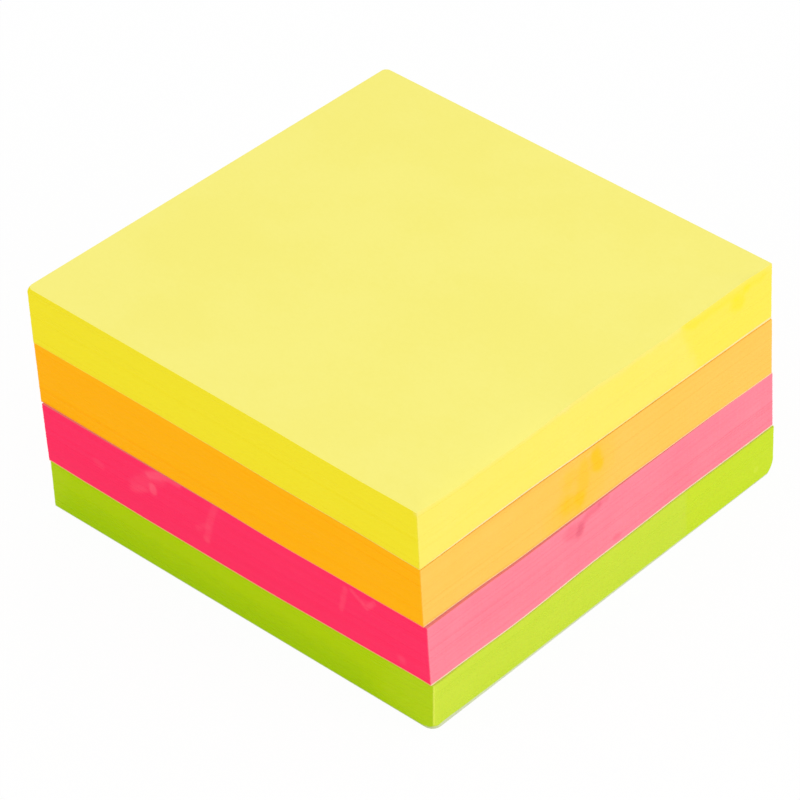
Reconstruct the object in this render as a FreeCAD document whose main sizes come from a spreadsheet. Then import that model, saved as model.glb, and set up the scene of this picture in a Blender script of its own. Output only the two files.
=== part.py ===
import FreeCAD, Part
import math
import os
import Sketcher

# Four square pads of neon sticky notes in one loose stack: green at the bottom, then pink, orange
# and yellow. Each pad is a block of notes on its own release liner, the pale sheet that covers the
# adhesive of the last note. +Z is up and the origin is the middle of the underside. The -Y side is
# the left one of the usual view and the +X side the right one, so their corner faces the viewer.
pads = ["green", "pink", "orange", "yellow"]

drivingSizes = [
    ("side", 76, "edge of every note, three inches"),
    ("corner_radius", 0.1, "upright corner left by the cutting die"),
    ("liner_thickness", 0.2, "release liner"),
    ("sheet_thickness", 0.1004, "one note with its share of the adhesive"),
    ("green_sheet_count", 82, "notes in each pad"),
    ("pink_sheet_count", 102, ""),
    ("orange_sheet_count", 102, ""),
    ("yellow_sheet_count", 96, ""),
    ("lean_x_angle", -1.6, "degrees that the notes' edges lean along X"),
    ("lean_y_angle", -0.9, "the same along Y"),
    ("green_lean_x_angle", -0.11, "the green pad stands nearly straight"),
    ("green_lean_y_angle", -0.46, ""),
    ("swell_x_ratio", 0.017, "how much thicker a pad is along its -X edge than along +X"),
    ("swell_y_ratio", 0.031, "the same for its -Y and +Y edges"),
    ("pink_step_x", -0.185, "place of each pad on the one below"),
    ("pink_step_y", -0.071, ""),
    ("pink_turn_angle", 0.086, "degrees"),
    ("orange_step_x", -0.265, ""),
    ("orange_step_y", 0.092, ""),
    ("orange_turn_angle", -0.386, "degrees"),
    ("yellow_step_x", -0.13, ""),
    ("yellow_step_y", 0.037, ""),
    ("yellow_turn_angle", 0.018, "degrees"),
    ("front_wear_radius", 1.5, "knocked bottom corner that faces the viewer"),
    ("front_wear_height", 1.3, ""),
    ("right_wear_radius", 1.6, "knocked bottom corner on the right"),
    ("right_wear_height", 2.8, ""),
    ("left_wear_radius", 1.2, "knocked top corner on the left"),
    ("left_wear_height", 1.1, ""),
    ("back_wear_radius", 1.1, "knocked top corner at the back"),
    ("back_wear_height", 0.9, ""),
]

doc = FreeCAD.newDocument("sticky_note_stack")
sizes = doc.addObject("Spreadsheet::Sheet", "sizes")
for row, (name, value, note) in enumerate(drivingSizes, start=1):
    sizes.set(f"A{row}", name)
    sizes.set(f"B{row}", str(value))
    sizes.setAlias(f"B{row}", name)
    sizes.set(f"C{row}", note)
doc.recompute()

# Corners in the order that runs anticlockwise round the plan, with their signs along X and Y.
corners = {"front": (1, -1), "right": (1, 1), "back": (-1, 1), "left": (-1, -1)}
quarter = math.pi / 2


def size(name):
    return float(sizes.get(name))


def thicknessOf(pad):
    """How thick the pad's block of notes is in the middle."""
    return f"(sizes.{pad}_sheet_count * sizes.sheet_thickness)"


def leanOf(pad, axis):
    """How far the pad's notes drift along the axis for each millimetre of height."""
    name = "green_lean" if pad == "green" else "lean"
    return f"tan(sizes.{name}_{axis}_angle)"


def originPlane(body, role):
    for feature in body.Origin.OriginFeatures:
        if feature.Role == role:
            return feature


def newSketch(body, name, role):
    sketch = body.newObject("Sketcher::SketchObject", name)
    sketch.AttachmentSupport = (originPlane(body, role), [""])
    sketch.MapMode = "FlatFace"
    return sketch


def driven(sketch, expression, kind, *places):
    """Adds a dimension to the sketch and ties it to the sheet."""
    start = sketch.evalExpression(expression)
    index = sketch.addConstraint(Sketcher.Constraint(kind, *places, float(start)))
    sketch.setExpression(f"Constraints[{index}]", expression)


def squareSketch(body, name, radii):
    """The note's outline: a square with one arc at each corner, radii named corner by corner."""
    sketch = newSketch(body, name, "XY_Plane")
    half = size("side") / 2
    signs = list(corners.values())
    reach = [size(radii[corner]) for corner in corners]
    centres = [FreeCAD.Vector(sx * (half - r), sy * (half - r), 0) for (sx, sy), r in zip(signs, reach)]
    ends = []
    for number, (centre, radius) in enumerate(zip(centres, reach)):
        first = (number - 1) * quarter
        arc = Part.ArcOfCircle(Part.Circle(centre, FreeCAD.Vector(0, 0, 1), radius), first, first + quarter)
        sketch.addGeometry(arc)
        ends.append((arc.StartPoint, arc.EndPoint))
    for number in range(4):
        sketch.addGeometry(Part.LineSegment(ends[number][1], ends[(number + 1) % 4][0]))
    for number in range(4):
        line = number + 4
        sketch.addConstraint(Sketcher.Constraint("Tangent", number, 2, line, 1))
        sketch.addConstraint(Sketcher.Constraint("Tangent", line, 2, (number + 1) % 4, 1))
        sketch.addConstraint(Sketcher.Constraint("Horizontal" if number % 2 else "Vertical", line))
    driven(sketch, "sizes.side / 2", "DistanceX", -1, 1, 4, 1)
    driven(sketch, "sizes.side / 2", "DistanceY", -1, 1, 5, 1)
    driven(sketch, "sizes.side / 2", "DistanceX", 6, 1, -1, 1)
    driven(sketch, "sizes.side / 2", "DistanceY", 7, 1, -1, 1)
    for number, corner in enumerate(corners):
        driven(sketch, "sizes." + radii[corner], "Radius", number)
    return sketch


def makeLiner(pad, radii):
    body = doc.addObject("PartDesign::Body", f"{pad}_liner")
    sheet = body.newObject("PartDesign::Pad", f"{pad}_liner_sheet")
    sheet.Profile = squareSketch(body, f"{pad}_liner_outline", radii)
    sheet.setExpression("Length", "sizes.liner_thickness")
    return body


def makeNotes(pad, radii):
    """The block leans and swells: it runs up to a top plane that is shifted and tilted a little."""
    body = doc.addObject("PartDesign::Body", f"{pad}_notes")
    thickness = thicknessOf(pad)
    leanX, leanY = leanOf(pad, "x"), leanOf(pad, "y")
    outline = squareSketch(body, f"{pad}_outline", radii)
    top = body.newObject("PartDesign::Plane", f"{pad}_top")
    top.AttachmentSupport = (originPlane(body, "XY_Plane"), [""])
    top.MapMode = "FlatFace"
    centre = f"vector({leanX} * {thickness}; {leanY} * {thickness}; {thickness})"
    fallY = f"rotation(vector(1; 0; 0); -atan(sizes.swell_y_ratio * {thickness} / sizes.side))"
    fallX = f"rotation(vector(0; 1; 0); atan(sizes.swell_x_ratio * {thickness} / sizes.side))"
    top.setExpression("AttachmentOffset",
                      f"placement({centre}; {fallY}) * placement(vector(0; 0; 0); {fallX})")
    doc.recompute()
    block = body.newObject("PartDesign::Pad", f"{pad}_block")
    block.Profile = outline
    block.UseCustomVector = True
    startX, startY = (float(body.evalExpression(lean)) for lean in (leanX, leanY))
    block.Direction = FreeCAD.Vector(startX, startY, 1)
    block.setExpression("Direction.x", leanX)
    block.setExpression("Direction.y", leanY)
    block.Type = "UpToFace"
    block.UpToFace = (top, [""])
    doc.recompute()
    return body


def knockCorner(body, corner, atTop, pad):
    """Rounds one worn corner: a quarter-turn groove about an upright axis, with a bulging profile.

    The groove's radius equals the corner's at the end face, and grows away from it until the cut
    leaves the paper at the upright edge. Outside the paper it reaches one such radius further.
    """
    signX, signY = corners[corner]
    radius = f"sizes.{corner}_wear_radius"
    height = f"sizes.{corner}_wear_height"
    thickness = thicknessOf(pad)
    sketch = newSketch(body, f"{corner}_wear_profile", "XZ_Plane")
    inset = f"(sizes.side / 2 - {radius})"
    # A top corner follows the block's lean, and lies above or below the middle with the swell.
    driftX, driftY, level = "0", "0", "0"
    if atTop:
        driftX, driftY = (f"{thickness} * {leanOf(pad, axis)}" for axis in ("x", "y"))
        swell = f"{signX} * sizes.swell_x_ratio / 2 + {signY} * sizes.swell_y_ratio / 2"
        level = f"{thickness} * (1 - ({swell}))"
    centre = f"vector({signX} * {inset} + {driftX}; {level}; -({signY} * {inset} + {driftY}))"
    turn = {"front": -90, "right": 0, "back": 90, "left": 180}[corner]
    sketch.setExpression("AttachmentOffset", f"placement({centre}; rotation(vector(0; 1; 0); {turn}))")
    way = -1 if atTop else 1
    near = float(sketch.evalExpression(radius))
    far = near * math.sqrt(2)
    rise = float(sketch.evalExpression(height))
    bulge = ((far - near) ** 2 + rise ** 2) / (2 * (far - near))
    edge = FreeCAD.Vector(far, way * rise, 0)
    foot = FreeCAD.Vector(near, 0, 0)
    middle = FreeCAD.Vector(far - bulge, way * rise, 0)
    half = math.asin(rise / bulge) / 2
    between = middle + FreeCAD.Vector(bulge * math.cos(half), -way * bulge * math.sin(half), 0)
    outer = FreeCAD.Vector(far + near, way * rise, 0)
    below = FreeCAD.Vector(far + near, -way * near, 0)
    inner = FreeCAD.Vector(near, -way * near, 0)
    sketch.addGeometry(Part.Arc(foot, between, edge))
    for start, end in ((edge, outer), (outer, below), (below, inner), (inner, foot)):
        sketch.addGeometry(Part.LineSegment(start, end))
    # The arc runs anticlockwise, so at a top corner its start is the end on the upright edge.
    footEnd, edgeEnd = (2, 1) if atTop else (1, 2)
    sketch.addConstraint(Sketcher.Constraint("Coincident", 0, edgeEnd, 1, 1))
    sketch.addConstraint(Sketcher.Constraint("Coincident", 1, 2, 2, 1))
    sketch.addConstraint(Sketcher.Constraint("Coincident", 2, 2, 3, 1))
    sketch.addConstraint(Sketcher.Constraint("Coincident", 3, 2, 4, 1))
    sketch.addConstraint(Sketcher.Constraint("Coincident", 4, 2, 0, footEnd))
    sketch.addConstraint(Sketcher.Constraint("Horizontal", 1))
    sketch.addConstraint(Sketcher.Constraint("Vertical", 2))
    sketch.addConstraint(Sketcher.Constraint("Horizontal", 3))
    sketch.addConstraint(Sketcher.Constraint("Vertical", 4))
    sketch.addConstraint(Sketcher.Constraint("PointOnObject", 4, 2, -1))
    sketch.addConstraint(Sketcher.Constraint("Horizontal", 0, 3, 0, edgeEnd))
    driven(sketch, radius, "DistanceX", -1, 1, 4, 2)
    driven(sketch, f"sqrt(2) * {radius}", "DistanceX", -1, 1, 0, edgeEnd)
    driven(sketch, radius, "DistanceX", 1, 1, 1, 2)
    if atTop:
        driven(sketch, height, "DistanceY", 0, edgeEnd, -1, 1)
        driven(sketch, radius, "DistanceY", -1, 1, 4, 1)
    else:
        driven(sketch, height, "DistanceY", -1, 1, 0, edgeEnd)
        driven(sketch, radius, "DistanceY", 4, 1, -1, 1)
    doc.recompute()
    before = body.Shape.Volume
    groove = body.newObject("PartDesign::Groove", f"{corner}_wear")
    groove.Profile = sketch
    groove.ReferenceAxis = (sketch, ["V_Axis"])
    groove.Angle = 90
    doc.recompute()
    print(f"{corner} corner knocked off: {before - body.Shape.Volume:.3f} cubic mm")


dieCut = dict.fromkeys(corners, "corner_radius")
knockedBelow = dict(dieCut, front="front_wear_radius", right="right_wear_radius")
bodies = []
for pad in pads:
    bodies.append(makeLiner(pad, knockedBelow if pad == "green" else dieCut))
    bodies.append(makeNotes(pad, dieCut))
notes = {pad: body for pad, body in zip(pads, bodies[1::2])}
knockCorner(notes["green"], "front", False, "green")
knockCorner(notes["green"], "right", False, "green")
knockCorner(notes["yellow"], "left", True, "yellow")
knockCorner(notes["yellow"], "back", True, "yellow")

# The stack drifts as it rises, so the lowest sheet starts half that drift to the other side.
for axis in ("x", "y"):
    leaning = " + ".join(f"{leanOf(pad, axis)} * {thicknessOf(pad)}" for pad in pads)
    steps = " + ".join(f"sizes.{pad}_step_{axis}" for pad in pads[1:])
    bodies[0].setExpression(f"Placement.Base.{axis}", f"-({leaning} + {steps}) / 2")

# Each piece lies face to face on the one below it.
for pad, liner, block in zip(pads, bodies[0::2], bodies[1::2]):
    block.setExpression("Placement", f"{liner.Name}.Placement * "
                        "placement(vector(0; 0; sizes.liner_thickness); rotation(0; 0; 0))")
for pad, below, liner in zip(pads[1:], pads, bodies[2::2]):
    step = f"vector(sizes.{pad}_step_x; sizes.{pad}_step_y; 0)"
    liner.setExpression("Placement", f"{below}_notes.Placement * {below}_top.AttachmentOffset * "
                        f"placement({step}; rotation(vector(0; 0; 1); sizes.{pad}_turn_angle))")
doc.recompute()

for item in doc.Objects:
    if "Invalid" in item.State or "Error" in item.State:
        raise RuntimeError(f"{item.Name} failed: {item.State}")
for body in bodies:
    if body.Shape.isNull() or not body.Shape.isValid() or len(body.Shape.Solids) != 1:
        raise RuntimeError(f"{body.Label} is not one valid solid")

os.makedirs("parts", exist_ok=True)
for body in bodies:
    body.Shape.exportStep(f"parts/{body.Label}.step")
    box = body.Shape.BoundBox
    print(f"{body.Label}: {body.Shape.Volume:.1f} cubic mm, z {box.ZMin:.3f} to {box.ZMax:.3f}")
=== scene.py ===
import math
import bpy
import numpy as np
from mathutils import Matrix, Vector


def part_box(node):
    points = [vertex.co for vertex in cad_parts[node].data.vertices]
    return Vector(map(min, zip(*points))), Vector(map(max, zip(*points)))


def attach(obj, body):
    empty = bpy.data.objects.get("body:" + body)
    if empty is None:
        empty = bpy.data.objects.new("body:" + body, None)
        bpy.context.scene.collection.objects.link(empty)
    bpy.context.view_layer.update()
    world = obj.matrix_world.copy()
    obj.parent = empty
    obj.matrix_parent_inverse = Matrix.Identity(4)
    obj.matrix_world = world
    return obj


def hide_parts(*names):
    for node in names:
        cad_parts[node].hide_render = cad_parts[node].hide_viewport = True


# A loose stack of four neon sticky note pads: green, pink, orange and yellow, each block of notes
# on its own pale liner. +Z is up. Lengths in the dictionaries are in mm, and times mm in metres.

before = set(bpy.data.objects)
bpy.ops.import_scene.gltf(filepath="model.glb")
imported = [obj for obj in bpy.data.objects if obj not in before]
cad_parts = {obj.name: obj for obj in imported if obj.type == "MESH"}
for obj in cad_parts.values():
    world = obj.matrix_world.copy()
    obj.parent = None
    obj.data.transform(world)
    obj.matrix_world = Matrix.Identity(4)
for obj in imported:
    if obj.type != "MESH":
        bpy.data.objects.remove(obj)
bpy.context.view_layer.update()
mm = 0.001


class Wire:
    # one output socket, so that tone * 0.5 + 1 adds its own Math nodes
    def __init__(self, finish, socket):
        self.finish = finish
        self.socket = socket

    def maths(self, operation, first, second):
        return self.finish.node("ShaderNodeMath", {"operation": operation}, {0: first, 1: second})

    def __add__(self, other):
        return self.maths("ADD", self, other)

    def __radd__(self, other):
        return self.maths("ADD", other, self)

    def __sub__(self, other):
        return self.maths("SUBTRACT", self, other)

    def __rsub__(self, other):
        return self.maths("SUBTRACT", other, self)

    def __mul__(self, other):
        return self.maths("MULTIPLY", self, other)

    def __rmul__(self, other):
        return self.maths("MULTIPLY", other, self)


bumpDepth = 0.00002   # metres


class Finish:
    # the nodes of one material, or of the world
    def __init__(self, owner):
        owner.use_nodes = True
        self.owner = owner
        self.tree = owner.node_tree
        self.tree.nodes.clear()

    def node(self, kind, settings=None, sockets=None, out=0):
        made = self.tree.nodes.new(kind)
        for key, value in (settings or {}).items():
            setattr(made, key, value)
        for key, value in (sockets or {}).items():
            if isinstance(value, Wire):
                self.tree.links.new(value.socket, made.inputs[key])
            else:
                made.inputs[key].default_value = value
        return made if out is None else Wire(self, made.outputs[out])

    def place(self):
        return self.node("ShaderNodeTexCoord", out="Object")

    def vector(self, operation, first, second=None, out=0):
        # vector maths, where SCALE takes its second value as a number
        sockets = {0: first}
        if second is not None:
            sockets[3 if operation == "SCALE" else 1] = second
        return self.node("ShaderNodeVectorMath", {"operation": operation}, sockets, out)

    def grain(self, place, kind):
        # noise, by its waves per metre, all round or along each axis, its detail and its roughness
        waves, detail, rough = kind
        waves = waves if isinstance(waves, tuple) else (waves,) * 3
        return self.node("ShaderNodeTexNoise", None,
                         {"Vector": self.vector("MULTIPLY", place, waves), "Scale": 1.0,
                          "Detail": detail, "Roughness": rough})

    def ramp(self, value, low, high, start=0.0, end=1.0):
        return self.node("ShaderNodeMapRange", {"interpolation_type": "SMOOTHSTEP"},
                         {0: value, 1: low, 2: high, 3: start, 4: end})

    def painted(self, name):
        return self.node("ShaderNodeAttribute", {"attribute_name": name}, out="Fac")

    def blend(self, first, second, amount):
        return self.node("ShaderNodeMix", {"data_type": "RGBA"},
                         {0: amount, 6: first, 7: second}, out=2)

    def unit(self, value):
        return self.node("ShaderNodeClamp", None, {0: value, 1: 0.0, 2: 1.0})

    def bump(self, height, strength):
        return self.node("ShaderNodeBump", None,
                         {"Strength": strength, "Distance": bumpDepth, "Height": height})

    def darker(self, colour, keep):
        return self.vector("SCALE", colour, keep)

    def surface(self, colour, rough, normal, plain):
        shader = self.node("ShaderNodeBsdfPrincipled", None,
                           {"Base Color": colour, "Roughness": rough, "Normal": normal, **plain})
        self.node("ShaderNodeOutputMaterial", None, {0: shader}, out=None)
        return self.owner

    def seen(self):
        # 1 where the camera, a reflection or a view through glass meets this surface
        rays = [self.node("ShaderNodeLightPath", out="Is " + kind + " Ray")
                for kind in ("Camera", "Glossy", "Transmission")]
        return self.unit(rays[0] + rays[1] + rays[2])


shot = {
    "turn": 43.524,           # degrees round the stack from the -Y side
    "rise": 38.445,           # degrees above the table
    "roll": -1.909,
    "distance": 645.63,       # from the middle of the lowest liner's underside
    "aside": 2.191,           # how far that middle lies right of the picture's middle
    "above": -13.087,
    "lens": 194.3,
    "film": 36.0,
    "reach": (0.01, 50.0),    # what lies nearer or farther, in metres, isn't drawn
    "aimedAt": "green_liner",
}


def setCamera():
    turn, rise, roll = (math.radians(shot[key]) for key in ("turn", "rise", "roll"))
    ahead = Vector((-math.sin(turn) * math.cos(rise), math.cos(turn) * math.cos(rise),
                    -math.sin(rise)))
    level = ahead.cross(Vector((0, 0, 1))).normalized()
    upright = level.cross(ahead)
    right = level * math.cos(roll) + upright * math.sin(roll)
    up = upright * math.cos(roll) - level * math.sin(roll)
    lowest, highest = (Vector(corner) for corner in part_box(shot["aimedAt"]))
    middle = (lowest + highest) / 2
    middle.z = lowest.z
    place = middle / mm - right * shot["aside"] - up * shot["above"]
    place -= ahead * shot["distance"]
    data = bpy.data.cameras.new("photoCamera")
    data.lens = shot["lens"]
    data.sensor_width = shot["film"]
    data.clip_start, data.clip_end = shot["reach"]
    camera = bpy.data.objects.new("photoCamera", data)
    bpy.context.scene.collection.objects.link(camera)
    pose = Matrix((right, up, -ahead)).transposed().to_4x4()
    pose.translation = place * mm
    camera.matrix_world = pose
    bpy.context.scene.camera = camera


setCamera()
print("camera set")


stack = {
    "side": 76.0,
    "sheet": 0.1004,
    "corner": 0.1,             # corner radius of a fresh cut
    "liner": 0.2,
    "swell": (0.017, 0.031),   # rise of a block's top towards -X and -Y, to its thickness
    # distances from a corner at which a ring has points, and how many steps lie between them
    "nearCorner": (0.15, 0.21, 0.28, 0.37, 0.48, 0.62, 0.82, 1.05, 1.3, 1.6, 2.0, 2.6, 3.6, 5.2,
                   7.5, 10.5),
    "cornerClear": 0.04,       # the first of them lies at least this far from the corner's round
    "cornerPoints": 4,
    "cornerSpread": 0.0005,    # what one point of the round counts for, in sides
    "midSteps": 18,
    "sharpFrom": 28,           # degrees between two faces
    "seed": 7,
}


def eachSide(values, blur=0.002):
    # knots for one value on each side, changing quickly round the corners
    return tuple((k + end, values[k]) for k in range(4) for end in (blur, 1 - blur))


# Knots for 0 all round, and for 1 on every side but the left.
nowhere = ((0, 0.0), (2, 0.0))
butLeft = ((0, 0.0), (0.998, 0.0), (1.002, 1.0), (3.93, 1.0), (3.98, 0.0))

# What differs from pad to pad. lean and twist are in degrees, and step is the pad's shift on the
# one below. Knots pair a place round the pad with a value: 0 is the left corner, 1 the front, 2 the
# right, 3 the back. ripple is how far the pad's top edge lies over its flat top, gap the air over
# that edge, and shows the height of the liner's edge under the notes. That edge is pale where lit
# is 1, and elsewhere it is in painted shade, tinted by light off the notes. shaded is how dark the
# painted shade is on the sheets right under the next pad's overhang, and rimFall how soon the
# ripple dies down from the edge of the top. A worn corner has its number, radius and height.
pads = {
    "green": {
        "sheets": 82, "lean": (-0.11, -0.46), "step": (0.0, 0.0), "twist": 0.0,
        "ripple": ((0, 0.18), (0.12, -0.04), (0.3, -0.24), (0.58, -0.34), (0.8, -0.08),
                   (0.97, 0.17), (1.05, 0.0), (1.24, -0.32), (1.5, 0.2), (1.72, 0.4),
                   (1.97, 0.18), (2.5, 0.05), (3, -0.1), (3.5, 0.05)),
        "gap": ((0, 0.0), (1, 0.0), (2, 0.0), (3, 0.05)),
        "shows": ((0, 0.12), (0.97, 0.12), (1.0, 0.5), (1.035, 0.66), (1.08, 0.54), (1.13, 0.46),
                  (1.2, 0.37), (1.6, 0.34), (1.7, 0.26), (1.8, 0.18), (2.0, 0.15), (3.0, 0.15),
                  (3.9, 0.12)),
        "lit": butLeft,
        "shaded": nowhere,
        "worn": ((1, 1.5, 1.3), (2, 1.6, 2.8)), "wornEnd": "bottom",
        "rimFall": 2,
        # a corner pushed over: its number, shift at the top and the foot, reach along the sides
        "pushed": (1, (0.21, 0.19), (0.03, 0.02), 5.0),
    },
    "pink": {
        "sheets": 102, "lean": (-1.6, -0.9), "step": (-0.185, -0.071), "twist": 0.086,
        "ripple": ((0, 0.08), (0.25, -0.03), (0.45, -0.12), (0.62, -0.3), (0.84, -0.05),
                   (1.0, 0.12), (1.12, 0.1), (1.27, -0.15), (1.43, -0.04), (1.6, 0.08),
                   (1.8, 0.1), (2.0, -0.15), (2.5, 0.05), (3, -0.05), (3.5, 0.08)),
        "gap": ((0, 0.0), (1, 0.04), (1.3, 0.03), (2, 0.0), (3, 0.05)),
        "shows": eachSide((0.15, 0.24, 0.2, 0.2)),
        "lit": butLeft,
        "shaded": nowhere,
        "worn": (), "wornEnd": None,
        "rimFall": 2,
        "pushed": None,
    },
    "orange": {
        "sheets": 102, "lean": (-1.6, -0.9), "step": (-0.265, 0.092), "twist": -0.386,
        "ripple": ((0, 0.15), (0.28, 0.25), (0.5, 0.12), (0.65, -0.04), (0.83, 0.0), (1.0, -0.18),
                   (1.2, 0.03), (1.3, 0.05), (1.5, -0.14), (1.75, -0.18), (1.9, -0.25), (2, -0.36),
                   (2.2, -0.15), (3, 0.02)),
        "gap": ((0, 0.0), (1, 0.03), (1.5, 0.06), (2, 0.02), (3, 0.03)),
        "shows": ((0, 0.08), (0.998, 0.08), (1.002, 0.2), (3, 0.2), (3.9, 0.14), (3.99, 0.08)),
        "lit": butLeft,
        "shaded": ((0, 0.0), (1.08, 0.0), (1.16, 0.2), (1.28, 0.24), (1.36, 0.08), (1.5, 0.02),
                   (1.68, 0.08), (1.8, 0.14), (1.95, 0.08), (2.0, 0.0)),
        "worn": (), "wornEnd": None,
        "rimFall": 2,
        "pushed": None,
    },
    "yellow": {
        "sheets": 96, "lean": (-1.6, -0.9), "step": (-0.13, 0.037), "twist": 0.018,
        "ripple": ((0, -0.01), (0.5, -0.03), (0.62, -0.05), (0.74, -0.2), (0.86, -0.24),
                   (0.95, -0.12), (1.0, -0.12), (1.06, -0.42), (1.12, -0.55), (1.19, -0.42),
                   (1.25, -0.45), (1.34, -0.36), (1.4, 0.08), (1.46, 0.15), (1.57, -0.15),
                   (1.63, 0.02), (1.68, -0.1), (1.75, 0.03), (1.85, 0.1), (1.91, 0.25),
                   (1.97, 0.0), (2.2, -0.02), (3, -0.01)),
        "gap": nowhere,
        "shows": ((0, 0.07), (0.998, 0.07), (1.002, 0.27), (1.4, 0.27), (1.6, 0.26), (1.8, 0.3),
                  (2, 0.42), (2.2, 0.3), (3, 0.2), (3.9, 0.16), (3.99, 0.07)),
        "lit": ((0, 0.0), (1.0, 0.3), (1.06, 0.7), (1.14, 1.0), (1.4, 1.0), (1.58, 0.6),
                (1.8, 0.8), (3.93, 0.8), (3.98, 0.0)),
        "shaded": nowhere,
        "worn": ((0, 1.2, 1.1), (3, 1.1, 0.9)), "wornEnd": "top",
        "rimFall": 18,
        "pushed": None,
    },
}
for look in pads.values():
    look["thick"] = look["sheets"] * stack["sheet"]
    # how far the block moves sideways to each mm of height
    look["drift"] = [math.tan(math.radians(angle)) for angle in look["lean"]]

cornerSigns = ((-1, -1), (1, -1), (1, 1), (-1, 1))
sideNormals = ((0, -1), (1, 0), (0, 1), (-1, 0))


def planOutline(radii):
    # points round a note: place, outward normal, how far round the loop, distance to a corner
    half = stack["side"] / 2
    rows = []
    for number in range(4):
        (ax, ay), (bx, by) = cornerSigns[number], cornerSigns[(number + 1) % 4]
        nx, ny = sideNormals[number]
        before = sideNormals[number - 1]
        radius = radii[number]
        count = stack["cornerPoints"]
        for step in range(count):
            angle = math.atan2(before[1], before[0]) + math.pi / 2 * (step + 0.5) / count
            way = (math.cos(angle), math.sin(angle))
            rows.append((ax * (half - radius) + radius * way[0],
                         ay * (half - radius) + radius * way[1], way[0], way[1],
                         number + (step - (count - 1) / 2) * stack["cornerSpread"], 0.0))
        near, far = ([d for d in stack["nearCorner"] if d > radii[end] + stack["cornerClear"]]
                     for end in (number, (number + 1) % 4))
        first, last = near[-1], far[-1]
        span = stack["side"] - first - last
        middle = [first + span * k / stack["midSteps"] for k in range(1, stack["midSteps"])]
        for along in near + middle + [stack["side"] - d for d in reversed(far)]:
            share = along / stack["side"]
            rows.append((half * (ax + (bx - ax) * share), half * (ay + (by - ay) * share),
                         nx, ny, number + share, min(along, stack["side"] - along)))
    return np.array(rows)


def ringValues(knots, around):
    # smooth heights between the given places, closed round the loop
    places = np.array([k[0] for k in knots], float)
    values = np.array([k[1] for k in knots], float)
    places = np.concatenate([places, [places[0] + 4]])
    values = np.concatenate([values, [values[0]]])
    where = np.mod(around - places[0], 4) + places[0]
    index = np.clip(np.searchsorted(places, where, side="right") - 1, 0, len(places) - 2)
    share = (where - places[index]) / (places[index + 1] - places[index])
    share = share * share * (3 - 2 * share)
    return values[index] + (values[index + 1] - values[index]) * share


def topHeights(pad, x, y):
    # height of the pad's flat top over its base, before the ripple
    look = pads[pad]
    slopeX, slopeY = (look["thick"] * swell / stack["side"] for swell in stack["swell"])
    return look["thick"] - x * slopeX - y * slopeY


def padFrames():
    # where each pad's liner and block of notes stand, in metres, as in the CAD model: the lowest
    # pad starts half of the stack's whole drift to the other side
    base = [-sum(look["drift"][k] * look["thick"] + look["step"][k] for look in pads.values()) / 2
            for k in (0, 1)]
    here = Matrix.Translation((*base, 0))
    frames = {}
    for pad, look in pads.items():
        linerFrame = here @ Matrix.Translation((*look["step"], 0))
        linerFrame = linerFrame @ Matrix.Rotation(math.radians(look["twist"]), 4, "Z")
        notesFrame = linerFrame @ Matrix.Translation((0, 0, stack["liner"]))
        frames[pad] = (linerFrame.copy(), notesFrame.copy())
        for pose in frames[pad]:
            pose.translation = pose.translation * mm
        thick = look["thick"]
        slopeX, slopeY = (math.atan(swell * thick / stack["side"]) for swell in stack["swell"])
        here = notesFrame @ Matrix.Translation((*(drift * thick for drift in look["drift"]), thick))
        here = here @ Matrix.Rotation(-slopeY, 4, "X") @ Matrix.Rotation(slopeX, 4, "Y")
    return frames


frames = padFrames()


def knocked(x, y, look, fromEnd):
    # pulls the points of a worn corner in, as the rounded cut of the CAD model does
    half = stack["side"] / 2
    slack = 0.02   # points this far outside the corner's quarter still count
    for corner, radius, rise in look["worn"]:
        sx, sy = cornerSigns[corner]
        far = radius * math.sqrt(2)
        bulge = ((far - radius) ** 2 + rise ** 2) / (2 * (far - radius))
        depth = np.clip(rise - fromEnd, 0, rise)
        reach = far - bulge + np.sqrt(bulge ** 2 - depth ** 2)
        reach = np.where(fromEnd < rise, reach, far + 1)   # beyond the wear nothing is pulled in
        dx, dy = x * sx - (half - radius), y * sy - (half - radius)
        away = np.hypot(dx, dy)
        outside = (dx > -slack) & (dy > -slack) & (away > reach)
        pull = np.where(outside, reach / np.maximum(away, slack), 1.0)
        x = np.where(pull < 1, sx * (half - radius + dx * pull), x)
        y = np.where(pull < 1, sy * (half - radius + dy * pull), y)
    return x, y


def pushedOver(x, y, around, look, share):
    # moves the points near one corner sideways, further the higher they are in the block
    corner, top, foot, reach = look["pushed"]
    along = np.abs(np.mod(around - corner + 2, 4) - 2) * stack["side"]
    near = np.exp(-(along / reach) ** 2)
    return tuple(value + near * (low + (high - low) * share)
                 for value, low, high in zip((x, y), foot, top))


capRings = (0.004, 0.012, 0.026, 0.05, 0.1, 0.2, 0.36, 0.6)   # from the edge (0) to the middle (1)


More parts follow.
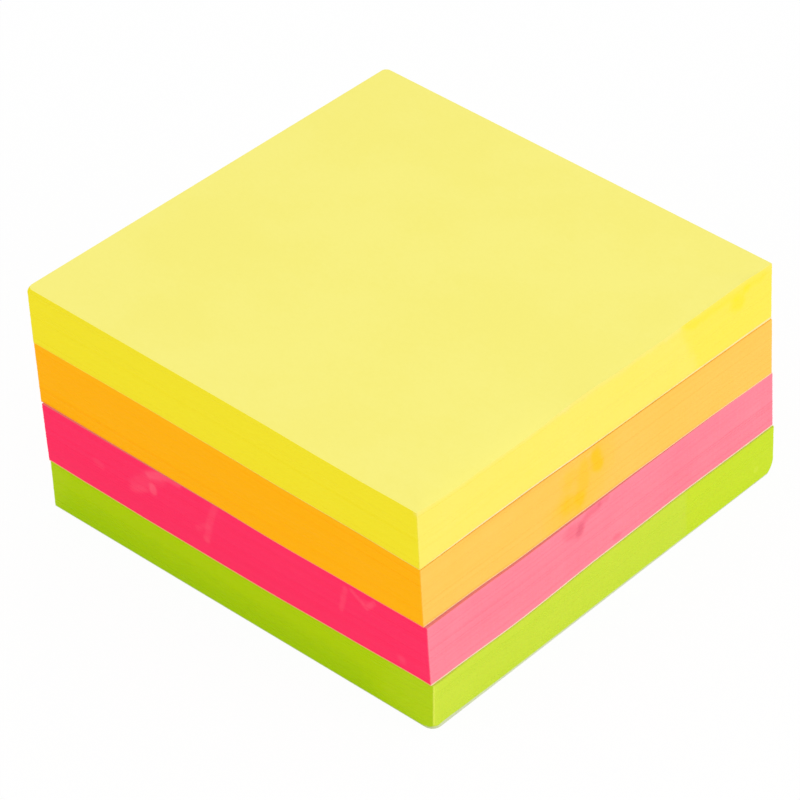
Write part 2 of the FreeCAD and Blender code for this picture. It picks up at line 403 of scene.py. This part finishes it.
def closedMesh(name, rings, attributes, materials, lowCap, highCap):
    # rings of points from the bottom edge to the top edge, closed by graded caps: the first
    # material is on the sides, the second on the caps
    count = rings.shape[1]
    points = [rings.reshape(-1, 3)]
    values = {key: [value.reshape(-1)] for key, value in attributes.items()}
    faces = []
    slots = []
    for row in range(rings.shape[0] - 1):
        a, b = row * count, (row + 1) * count
        for k in range(count):
            n = (k + 1) % count
            faces.append((a + k, a + n, b + n, b + k))
            slots.append(0)
    total = rings.shape[0] * count
    for edgeRow, capHeight, upward in ((0, lowCap, False), (rings.shape[0] - 1, highCap, True)):
        edge = rings[edgeRow]
        middle = edge.mean(0)
        previous = edgeRow * count
        for share in capRings:
            ring = edge + (middle - edge) * share
            ring[:, 2] = capHeight(ring[:, 0], ring[:, 1], share, edge[:, 2])
            points.append(ring)
            for key in values:
                values[key].append(attributes[key][edgeRow] * (1 - share))
            for k in range(count):
                n = (k + 1) % count
                quad = (previous + k, previous + n, total + n, total + k)
                faces.append(quad if upward else quad[::-1])
                slots.append(1)
            previous = total
            total += count
        centre = middle.copy()
        centre[2] = capHeight(middle[:1], middle[1:2], 1.0, edge[:1, 2])[0]
        points.append(centre[None])
        for key in values:
            values[key].append(np.zeros(1))
        for k in range(count):
            n = (k + 1) % count
            tri = (previous + k, previous + n, total)
            faces.append(tri if upward else tri[::-1])
            slots.append(1)
        total += 1
    mesh = bpy.data.meshes.new(name)
    mesh.from_pydata((np.concatenate(points) * mm).tolist(), [], faces)
    for key, parts in values.items():
        layer = mesh.attributes.new(key, "FLOAT", "POINT")
        layer.data.foreach_set("value", np.concatenate(parts).astype(np.float32))
    for material in materials:
        mesh.materials.append(material)
    mesh.polygons.foreach_set("material_index", slots)
    mesh.shade_smooth()
    mesh.set_sharp_from_angle(angle=math.radians(stack["sharpFrom"]))
    mesh.update()
    piece = bpy.data.objects.new(name, mesh)
    bpy.context.scene.collection.objects.link(piece)
    return piece


# Colours are linear. edge is the cut side of the sheets and face the flat of a note. The third is
# a paler tone of painted sheen on the sides, and the first number is the share of it that those
# sides get, the second the painted highlight that the upright corners get besides. The colours
# between are for the marks below, then the liner's edge, and that same edge in painted shade,
# tinted by light off the notes.
papers = {
    "yellow": {
        "edge": (0.89, 0.77, 0.022), "face": (0.94, 0.865, 0.195), "paleSheen": (0.96, 0.82, 0.62),
        "saturated": (0.92, 0.76, 0.02), "rim": (0.885, 0.77, 0.25),
        "liner": (0.93, 0.77, 0.36), "shadeTint": (0.93, 0.78, 0.05),
        "sheenShare": 0.19, "highlight": 0.04,
    },
    "orange": {
        "edge": (1.0, 0.455, 0.002), "face": (1.0, 0.50, 0.05), "paleSheen": (0.98, 1.0, 0.52),
        "saturated": (0.97, 0.545, 0.02),
        "liner": (0.94, 0.62, 0.32), "shadeTint": (0.98, 0.36, 0.13),
        "sheenShare": 0.19, "highlight": 0.04,
    },
    "pink": {
        # the pink face colour is darkened by painted shade, for the ledge that shows under the
        # orange pad
        "edge": (1.0, 0.030, 0.125), "face": (0.80, 0.22, 0.24), "paleSheen": (0.98, 0.98, 1.0),
        "saturated": (0.80, 0.145, 0.22),
        "liner": (0.93, 0.70, 0.50), "shadeTint": (0.93, 0.36, 0.15),
        "sheenShare": 0.213, "highlight": 0.04,
    },
    "green": {
        "edge": (0.428, 0.632, 0.0), "face": (0.52, 0.70, 0.08), "paleSheen": (1.0, 1.0, 0.185),
        "saturated": (0.56, 0.73, 0.01), "footShade": (0.385, 0.602, 0.0),
        "liner": (0.63, 0.68, 0.44), "shadeTint": (0.55, 0.62, 0.30),
        "sheenShare": 0.245, "highlight": 0.3,
    },
}

# Patches and strokes on the sides, under the name of the colour that they turn the paper to: side,
# points that the stroke runs through (along the side and up), half width, softness and strength.
# The pale patches take on the tone of the painted sheen.
marks = {
    "yellow": {
        "rim": (
            ("right", ((-38.0, 39.8), (-22.0, 39.4), (-8.0, 39.2)), 1.3, 1.0, 0.35),
            ("right", ((-8.0, 39.2), (12.0, 39.0)), 1.3, 1.0, 0.35),
            ("right", ((14.0, 38.9), (28.0, 38.8), (38.0, 38.4)), 1.3, 1.0, 0.4),
        ),
        # patches of deeper colour, where the painted sheen is less
        "saturated": (
            ("right", ((35.7, 37.3), (33.3, 37.6), (29.9, 37.2), (27.6, 37.6), (22.2, 37.6)),
             1.2, 1.0, 0.22),
            ("right", ((29.6, 35.7), (30.4, 35.3)), 1.6, 1.0, 0.4),
            ("right", ((32.0, 36.9),), 1.1, 1.0, 0.25),
            ("right", ((20.5, 37.4), (18.3, 38.5)), 1.2, 1.0, 0.3),
            ("right", ((33.8, 25.1), (27.8, 40.1)), 11.0, 0.2, 0.36),
        ),
    },
    "orange": {
        # patches of deeper colour, where the painted sheen is less
        "saturated": (
            ("right", ((-1.9, 27.2), (-1.2, 25.0)), 1.4, 1.0, 0.7),
            ("right", ((-4.2, 26.6), (-4.6, 23.6), (-4.9, 21.8)), 1.7, 1.0, 0.4),
            ("right", ((-7.6, 26.2),), 2.2, 1.0, 0.3),
            ("right", ((-7.6, 21.5), (-5.9, 21.0)), 2.1, 1.0, 0.45),
            ("right", ((-2.6, 25.6), (-5.7, 22.1)), 5.5, 0.8, 0.3),
            ("right", ((-10.2, 20.6),), 3.6, 1.0, 0.22),
        ),
        # pale patches in the tone of the painted sheen
        "paleSheen": (
            ("right", ((-2.8, 28.2), (-3.6, 28.1)), 0.3, 0.8, 0.05),
        ),
    },
    "pink": {
        # patches of deeper colour, where the painted sheen is less
        "saturated": (
            ("right", ((0.3, 18.3), (-1.4, 18.2)), 0.6, 1.0, 0.4),
            ("right", ((-1.9, 18.1), (-4.1, 17.8), (-5.1, 17.1), (-5.8, 15.8)), 1.05, 1.0, 0.6),
            ("right", ((-6.5, 16.4), (-7.9, 16.8)), 1.7, 1.0, 0.5),
            ("right", ((1.9, 10.0), (2.5, 9.9)), 0.8, 1.0, 0.5),
        ),
        # pale patches in the tone of the painted sheen
        "paleSheen": (
            ("left", ((-18.7, 13.9), (-15.9, 16.6), (-13.2, 18.9)), 1.7, 1.0, 0.02),
            ("left", ((-15.6, 17.6), (-13.6, 18.5), (-12.0, 19.0), (-9.8, 19.1)), 0.9, 1.0, 0.036),
            ("left", ((-15.1, 15.6), (-15.1, 15.0)), 0.9, 1.0, 0.052),
            ("left", ((-19.6, 13.0), (-16.9, 14.2)), 0.8, 1.0, 0.012),
            ("left", ((-26.8, 14.2), (-25.9, 13.9)), 0.9, 1.0, 0.014),
            ("left", ((-2.5, 18.5), (-3.7, 15.1), (-4.5, 11.7)), 0.8, 1.0, 0.02),
            ("left", ((-6.3, 12.8), (-4.2, 14.3)), 0.7, 1.0, 0.014),
            ("left", ((-4.6, 11.5),), 0.8, 1.0, 0.014),
            ("left", ((22.9, 17.7), (21.9, 13.4)), 0.6, 1.0, 0.022),
            ("left", ((24.2, 18.0), (26.8, 16.3), (28.3, 18.1)), 0.55, 1.0, 0.026),
            ("left", ((26.3, 17.1), (27.7, 17.3)), 0.7, 1.0, 0.014),
            ("left", ((33.2, 10.5),), 1.0, 1.0, 0.022),
        ),
    },
    "green": {
        # a patch of deeper colour, where the painted sheen is less
        "saturated": (
            ("right", ((29.7, -5.4), (29.7, 14.6)), 12.2, 0.08, 0.5),
        ),
        # painted shade along the foot of the left side
        "footShade": (
            ("left", ((-33.0, 0.4), (24.0, 0.4)), 5.2, 1.0, 1.0),
        ),
        # pale patches in the tone of the painted sheen
        "paleSheen": (
            ("right", ((34.1, 2.6),), 0.6, 1.0, 0.12),
            ("left", ((38.5, 0.0), (38.5, 8.0)), 10.0, 1.0, 0.035),
            ("left", ((-38.5, 3.0), (-38.5, 8.0)), 5.0, 1.0, 0.03),
        ),
    },
}

strokes = {
    "ragged": (420.0, 3.0, 0.6),
    "raggedness": 0.9,         # how far that moves a soft stroke's edge, in half widths
    "fade": (0.7, 0.2),        # how far inside and outside its width a wholly soft stroke fades
    "onSide": (36.2, 37.0),    # they fade in between these distances, so they stay on their side
}


def strokeMask(finish, place, ragged, stroke):
    # the stroke's strength along its path, fading to 0 beyond its half width
    side, path, width, soft, strength = stroke
    half = stack["side"] / 2
    if side == "left":
        outward, inSide = (0, -1, 0), (1, 0, 1)
        points = [Vector((along, -half, up)) * mm for along, up in path]
    else:
        outward, inSide = (1, 0, 0), (0, 1, 1)
        points = [Vector((half, along, up)) * mm for along, up in path]
    nearest = None
    for start, end in zip(points, points[1:] or points):
        run = end - start
        offset = finish.vector("SUBTRACT", place, start)
        if run.length > 0:
            along = finish.vector("DOT_PRODUCT", offset, run / run.length_squared, out="Value")
            along = finish.vector("SCALE", run, finish.unit(along))
            offset = finish.vector("SUBTRACT", offset, along)
        away = finish.vector("LENGTH", finish.vector("MULTIPLY", offset, inSide), out="Value")
        nearest = away if nearest is None else nearest.maths("MINIMUM", nearest, away)
    edge = nearest * (1 / (width * mm)) + (ragged - 0.5) * (strokes["raggedness"] * soft)
    inner, outer = strokes["fade"]
    mask = finish.ramp(edge, 1 - inner * soft, 1 + outer * soft, strength, 0.0)
    outwards = finish.vector("DOT_PRODUCT", place, outward, out="Value")
    return mask * finish.ramp(outwards, *(depth * mm for depth in strokes["onSide"]))


def marksOn(finish, place, kind):
    # all strokes of one kind together
    ragged = finish.grain(place, strokes["ragged"])
    masks = [strokeMask(finish, place, ragged, stroke) for stroke in kind]
    return sum(masks[1:], masks[0])


# Each look starts with its noises: waves per metre, detail and roughness. A Tone is what a noise
# adds to the colour, a Height what it adds to the bump, and a Rough what it adds to the roughness.
edgeLook = {
    "cloud": (110.0, 3.0, 0.55),
    "streak": ((26.0, 26.0, 5200.0), 2.0, 0.6),      # along the sheets
    "cutter": ((2400.0, 2400.0, 60.0), 2.0, 0.6),    # upright, as the blade went
    "cloudTone": 0.06, "streakTone": 0.018, "cutterTone": 0.02,
    "plainTone": 0.3, "sheenTone": 4.0,     # the side without the painted sheen is smoother
    "slit": (0.02, 0.2),                    # the line between two sheets, in sheets
    "slitShade": 0.03,
    "streakHeight": 0.5, "cutterHeight": 0.35, "slitHeight": 0.6,
    "plainHeight": 0.4, "sheenHeight": 1.6,
    "bump": 0.22,
    "rough": 0.6, "cloudRough": 0.1, "slitRough": 0.1,
    "shine": 0.05,
}


def edgeFinish(pad):
    paper, look = papers[pad], edgeLook
    finish = Finish(bpy.data.materials.new(pad + " cut edges"))
    place = finish.place()
    leaf, paleSheen, cornerHighlight, shaded = map(finish.painted, ("leaf", "paleSheen", "cornerHighlight", "shaded"))
    cloud, streak, cutter = (finish.grain(place, look[key])
                             for key in ("cloud", "streak", "cutter"))
    slit = finish.node("ShaderNodeMath", {"operation": "PINGPONG"}, {0: leaf, 1: 0.5})
    slit = finish.ramp(slit, *look["slit"], 1.0, 0.0)
    grain = (cloud - 0.5) * look["cloudTone"] + (streak - 0.5) * look["streakTone"]
    grain = grain + (cutter - 0.5) * look["cutterTone"]
    grain = grain * (look["plainTone"] + paleSheen * look["sheenTone"])
    # painted sheen on the sides and painted highlight on the upright corners, with the grain, make
    # the cut edge paler
    pale = finish.unit(paleSheen + grain + cornerHighlight * paper["highlight"])
    colour = finish.blend((*paper["edge"], 1), (*paper["paleSheen"], 1), pale)
    for name, kind in marks[pad].items():
        colour = finish.blend(colour, (*paper[name], 1), marksOn(finish, place, kind))
    # painted shade: darker on the lines between sheets and on the sheets under the next pad's
    # overhang
    colour = finish.darker(colour, 1 - slit * look["slitShade"] - shaded)
    height = streak * look["streakHeight"] + cutter * look["cutterHeight"]
    height = height - slit * look["slitHeight"]
    height = height * (look["plainHeight"] + paleSheen * look["sheenHeight"])
    rough = look["rough"] + (cloud - 0.5) * look["cloudRough"] + slit * look["slitRough"]
    return finish.surface(colour, rough, finish.bump(height, look["bump"]),
                          {"Specular IOR Level": look["shine"]})


faceLook = {
    "cloud": (66.0, 4.0, 0.55),
    "fibre": (2600.0, 4.0, 0.65),
    "fleck": ((900.0, 1300.0, 900.0), 3.0, 0.6),
    "cloudShare": 0.7,                  # against the flecks
    "mottled": (0.38, 0.62),            # where the deeper tone sets in and is full
    "deeper": (0.99, 0.985, 0.91),      # what it keeps of each colour
    "keep": 0.99, "fibreTone": 0.035,
    "fibreHeight": 0.6,                 # against the flecks
    "bump": 0.25,
    "rough": 0.55, "cloudRough": 0.08,
    "shine": 0.3,
}


def faceFinish(pad):
    face, look = papers[pad]["face"], faceLook
    finish = Finish(bpy.data.materials.new(pad + " note face"))
    place = finish.place()
    cloud, fibre, fleck = (finish.grain(place, look[key]) for key in ("cloud", "fibre", "fleck"))
    deeper = tuple(part * keep for part, keep in zip(face, look["deeper"]))
    amount = cloud * look["cloudShare"] + fleck * (1 - look["cloudShare"])
    colour = finish.blend((*face, 1), (*deeper, 1), finish.ramp(amount, *look["mottled"]))
    colour = finish.darker(colour, look["keep"] + (fibre - 0.5) * look["fibreTone"])
    height = fibre * look["fibreHeight"] + fleck * (1 - look["fibreHeight"])
    rough = look["rough"] + (cloud - 0.5) * look["cloudRough"]
    return finish.surface(colour, rough, finish.bump(height, look["bump"]),
                          {"Specular IOR Level": look["shine"]})


linerLook = {
    "cloud": (260.0, 3.0, 0.5),
    "fibre": (1800.0, 4.0, 0.6),
    "cloudShare": 0.6,                  # against the fibres
    "mottled": (0.35, 0.7),
    "shade": 0.9,                       # what the darkest spots keep
    "bump": 0.2,
    "rough": 0.45, "cloudRough": 0.1,
    "shine": 0.3,
}


def linerFinish(pad):
    paper, look = papers[pad], linerLook
    finish = Finish(bpy.data.materials.new(pad + " release liner"))
    place = finish.place()
    cloud, fibre = (finish.grain(place, look[key]) for key in ("cloud", "fibre"))
    # the liner's edge: pale where lit, elsewhere painted shade tinted by light off the notes
    colour = finish.blend((*paper["shadeTint"], 1), (*paper["liner"], 1), finish.painted("lit"))
    amount = cloud * look["cloudShare"] + fibre * (1 - look["cloudShare"])
    colour = finish.darker(colour, finish.ramp(amount, *look["mottled"], 1.0, look["shade"]))
    rough = look["rough"] + (cloud - 0.5) * look["cloudRough"]
    return finish.surface(colour, rough, finish.bump(fibre, look["bump"]),
                          {"Specular IOR Level": look["shine"]})


block = {
    "unevenCut": 0.14,    # how far a sheet's edge lies off the even pitch, in sheets
    "drift": 0.018,       # slow sideways wander of the sheets up a block
    "jitter": 0.008,      # each sheet's own slip
    "turn": 0.6,          # how much of that goes into turning, at the side's middle
    "flutter": 0.0025,    # waves along each sheet's edge
    "proud": 0.03,        # every so often a sheet stands out by up to this much
    "proudChance": 0.05,
    "proudLeast": 0.4,
    "edgeShare": 0.13,    # how much of a sheet's thickness the step to the next one takes
    "softEnds": (0.016, 0.007, 0.002),   # outer sheets rounded by the cutter's clamp
    "rim": 0.01,          # the very edge of the block's first and last sheet, drawn in
    "footFall": 2,        # how soon the seam's ripple dies down under a block
    "sheenShare": (0.0, 1.0, 0.5, 0.25),    # how much painted sheen each side gets, from the left corner on
    "highlightWidth": 0.17,    # of the painted highlight on the upright corners
    "shadedSheets": 2.4,  # how many sheets the shade under an overhang reaches down
}


def waver(around, dice, slowest):
    # three slow waves round the pad, added up
    starts = dice.uniform(0, 2 * math.pi, 3)
    return sum(np.sin(around * math.pi / 2 * (slowest + k) + starts[k]) for k in range(3))


def footHeights(below, around):
    # height of the seam that a pad stands on, over the flat top of the pad below
    if below is None:
        return np.zeros(len(around))
    return ringValues(pads[below]["ripple"], around) + ringValues(pads[below]["gap"], around)


def makeNotes(pad, below, dice):
    look = pads[pad]
    x0, y0, nx, ny, around, cornerGap = planOutline([stack["corner"]] * 4).T
    low = footHeights(below, around) + ringValues(look["shows"], around) - stack["liner"]
    high = topHeights(pad, x0, y0) + ringValues(look["ripple"], around)
    # painted shade under the next pad's overhang
    dark = ringValues(look["shaded"], around)
    # painted highlight along the upright corners
    worn = np.exp(-(cornerGap / block["highlightWidth"]) ** 2)
    count = look["sheets"]
    cuts = np.arange(count + 1) + dice.uniform(-block["unevenCut"], block["unevenCut"], count + 1)
    cuts = cuts / count
    cuts[0], cuts[-1] = 0.0, 1.0
    wander = np.cumsum(dice.normal(0, 1, (count, 3)), axis=0)
    wander -= np.linspace(0, 1, count)[:, None] * wander[-1]
    wander *= block["drift"] / np.abs(wander).max()
    rings, leaves, shades = [], [], []
    for k in range(count):
        slip = wander[k, :2] + dice.normal(0, block["jitter"], 2)
        turn = wander[k, 2] + dice.normal(0, block["jitter"])
        turn = turn / (stack["side"] / 2) * block["turn"]
        out = waver(around, dice, 2) * block["flutter"]
        if dice.random() < block["proudChance"]:
            out = out + block["proud"] * dice.uniform(block["proudLeast"], 1.0)
        end = min(k, count - 1 - k)
        if end < len(block["softEnds"]):
            out = out - block["softEnds"][end]
        for upper in (False, True):   # each sheet has two rings, near its lower and its upper face
            part = 1 - block["edgeShare"] if upper else block["edgeShare"]
            share, drawn = cuts[k] + (cuts[k + 1] - cuts[k]) * part, 0.0
            if k == 0 and not upper:
                share, drawn = 0.0, block["rim"]
            if k == count - 1 and upper:
                share, drawn = 1.0, block["rim"]
            height = low + (high - low) * share
            fromEnd = height - low if look["wornEnd"] == "bottom" else high - height
            x = x0 + nx * (out - drawn) + slip[0] - turn * y0
            y = y0 + ny * (out - drawn) + slip[1] + turn * x0
            x, y = knocked(x, y, look, fromEnd)
            if look["pushed"]:
                x, y = pushedOver(x, y, around, look, share)
            rings.append(np.stack([x + look["drift"][0] * height, y + look["drift"][1] * height,
                                   height], 1))
            leaves.append(np.full(len(around), k + part))
            shades.append(dark * math.exp(-(count - k) / block["shadedSheets"]))
    rings = np.array(rings)
    # painted sheen: how pale each side is painted, by side and by pad
    paleSheen = ringValues(eachSide(block["sheenShare"]), around) * papers[pad]["sheenShare"]
    attributes = {"leaf": np.array(leaves), "cornerHighlight": np.tile(worn, (len(rings), 1)),
                  "paleSheen": np.tile(paleSheen, (len(rings), 1)), "shaded": np.array(shades)}

    def lowCap(x, y, share, edge):
        return edge * (1 - share) ** block["footFall"]

    def highCap(x, y, share, edge):
        edgeX, edgeY = rings[-1][:len(edge), 0], rings[-1][:len(edge), 1]
        ripple = edge - topHeights(pad, edgeX, edgeY)
        return topHeights(pad, x, y) + ripple * (1 - share) ** look["rimFall"]

    piece = closedMesh(pad + "Notes", rings, attributes, [edgeFinish(pad), faceFinish(pad)],
                       lowCap, highCap)
    piece.data.transform(frames[pad][1])
    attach(piece, "root")
    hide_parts(pad + "_notes")
    pad + "_paper"
    print(pad, "notes made:", count, "sheets,", len(piece.data.polygons), "faces")


liner = {
    "proud": 0.02,        # the liner's edge stands a hair outside the notes
    "round": 0.04,        # its rounded edge, less where it shows lower than roundAt
    "roundAt": 0.3,
    "wobble": 0.01,
    # shares of the height, and how far the edge is drawn in there
    "profile": ((0.0, 1.0), (0.12, 0.35), (0.35, 0.0), (0.65, 0.0), (0.88, 0.35), (1.0, 1.0)),
}


def makeLiner(pad, below, dice):
    look = pads[pad]
    radii = [stack["corner"]] * 4
    if look["wornEnd"] == "bottom":
        for corner, radius, rise in look["worn"]:
            radii[corner] = radius
    x0, y0, nx, ny, around, cornerGap = planOutline(radii).T
    low = footHeights(below, around)
    shows = ringValues(look["shows"], around)
    out = waver(around, dice, 3) / 3 * liner["wobble"]
    if below:
        out = out + liner["proud"]
    rounding = liner["round"] * np.minimum(1, shows / liner["roundAt"])
    rings = []
    for share, drawn in liner["profile"]:
        off = out - drawn * rounding
        rings.append(np.stack([x0 + nx * off, y0 + ny * off, low + share * shows], 1))
    rings = np.array(rings)
    lit = np.tile(ringValues(look["lit"], around), (len(rings), 1))

    def lowCap(x, y, share, edge):
        return edge * (1 - share) ** block["footFall"]

    def highCap(x, y, share, edge):
        return stack["liner"] + (edge - stack["liner"]) * (1 - share) ** block["footFall"]

    finish = linerFinish(pad)
    piece = closedMesh(pad + "Liner", rings, {"lit": lit}, [finish, finish], lowCap, highCap)
    piece.data.transform(frames[pad][0])
    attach(piece, "root")
    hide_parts(pad + "_liner")


dice = np.random.default_rng(stack["seed"])
below = None
for pad in pads:
    makeLiner(pad, below, dice)
    makeNotes(pad, below, dice)
    below = pad
print("four pads stacked")


# Metres and watts.
studio = {
    "world": 0.86,
    "floor": (0.93, 0.93, 0.93),
    "floorGlow": 0.955,   # share of plain white that the camera sees in the floor
    "floorReach": 4.0,
    "floorDrop": 0.00005,
    "aim": (0, 0, 0.02),
    "lamps": {
        # where the lamp is, its width and its power
        "key": ((1.2, 0.3, 0.6), 0.9, 5.2),
        "fill": ((-0.35, -1.1, 0.6), 1.0, 2.32),
    },
}


def makeLamp(name, place, width, power):
    data = bpy.data.lights.new(name, "AREA")
    data.shape = "SQUARE"
    data.size = width
    data.energy = power
    lamp = bpy.data.objects.new(name, data)
    lamp.location = place
    lamp.rotation_mode = "QUATERNION"
    lamp.rotation_quaternion = (Vector(studio["aim"]) - Vector(place)).to_track_quat("-Z", "Y")
    bpy.context.scene.collection.objects.link(lamp)


def makeWorld():
    world = bpy.data.worlds.new("studio air")
    finish = Finish(world)
    white = (1, 1, 1, 1)
    air = finish.node("ShaderNodeBackground", None, {"Color": white, "Strength": studio["world"]})
    backdrop = finish.node("ShaderNodeBackground", None, {"Color": white, "Strength": 1.0})
    both = finish.node("ShaderNodeMixShader", None, {0: finish.seen(), 1: air, 2: backdrop})
    finish.node("ShaderNodeOutputWorld", None, {0: both}, out=None)
    bpy.context.scene.world = world


def makeFloor():
    mesh = bpy.data.meshes.new("floor")
    points = [Vector((x, y, 0)) * studio["floorReach"] for x, y in cornerSigns]
    mesh.from_pydata([point - Vector((0, 0, studio["floorDrop"])) for point in points],
                     [], [(0, 1, 2, 3)])
    floor = bpy.data.objects.new("floor", mesh)
    bpy.context.scene.collection.objects.link(floor)
    finish = Finish(bpy.data.materials.new("white table"))
    matt = finish.node("ShaderNodeBsdfDiffuse", None, {"Color": (*studio["floor"], 1)})
    white = finish.node("ShaderNodeEmission", None, {"Color": (1, 1, 1, 1), "Strength": 1.0})
    both = finish.node("ShaderNodeMixShader", None,
                       {0: finish.seen() * studio["floorGlow"], 1: matt, 2: white})
    finish.node("ShaderNodeOutputMaterial", None, {0: both}, out=None)
    mesh.materials.append(finish.owner)


makeWorld()
makeFloor()
for name, (place, width, power) in studio["lamps"].items():
    makeLamp(name, place, width, power)
bpy.context.scene.view_settings.view_transform = "Standard"
print("light and floor set")
